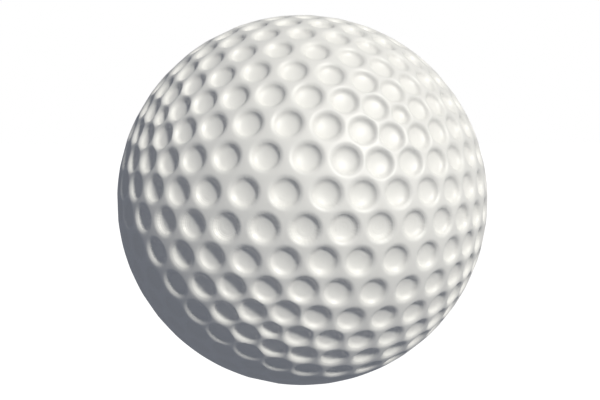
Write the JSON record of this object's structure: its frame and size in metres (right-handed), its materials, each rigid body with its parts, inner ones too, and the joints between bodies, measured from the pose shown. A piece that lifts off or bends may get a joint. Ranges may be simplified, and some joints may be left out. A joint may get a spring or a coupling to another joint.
{
  "type": "golf ball",
  "caption": "Golf ball with a satin white cover of round dimples in a geodesic pattern, two mantles and a two-part rubber core.",
  "frame": {"origin": "centre of the ball", "axes": "+Z along a five-fold axis of the dimple pattern, square to the parting line; +X towards the upper pole dimple of the next ring of five"},
  "size_m": [0.0426, 0.0426, 0.0426],
  "materials": {
    "inner_core_rubber": "matte moulded rubber",
    "outer_core_rubber": "matte moulded rubber",
    "inner_mantle_ionomer": "satin moulded ionomer",
    "outer_mantle_ionomer": "satin moulded ionomer",
    "cover_satin_white": "satin white polyurethane paint"
  },
  "bodies": {
    "root": {"inner_core": "inner_core_rubber", "outer_core_upper": "outer_core_rubber", "outer_core_lower": "outer_core_rubber", "inner_mantle_upper": "inner_mantle_ionomer", "inner_mantle_lower": "inner_mantle_ionomer", "outer_mantle_upper": "outer_mantle_ionomer", "outer_mantle_lower": "outer_mantle_ionomer", "cover_upper": "cover_satin_white", "cover_lower": "cover_satin_white"}
  },
  "joints": []
}
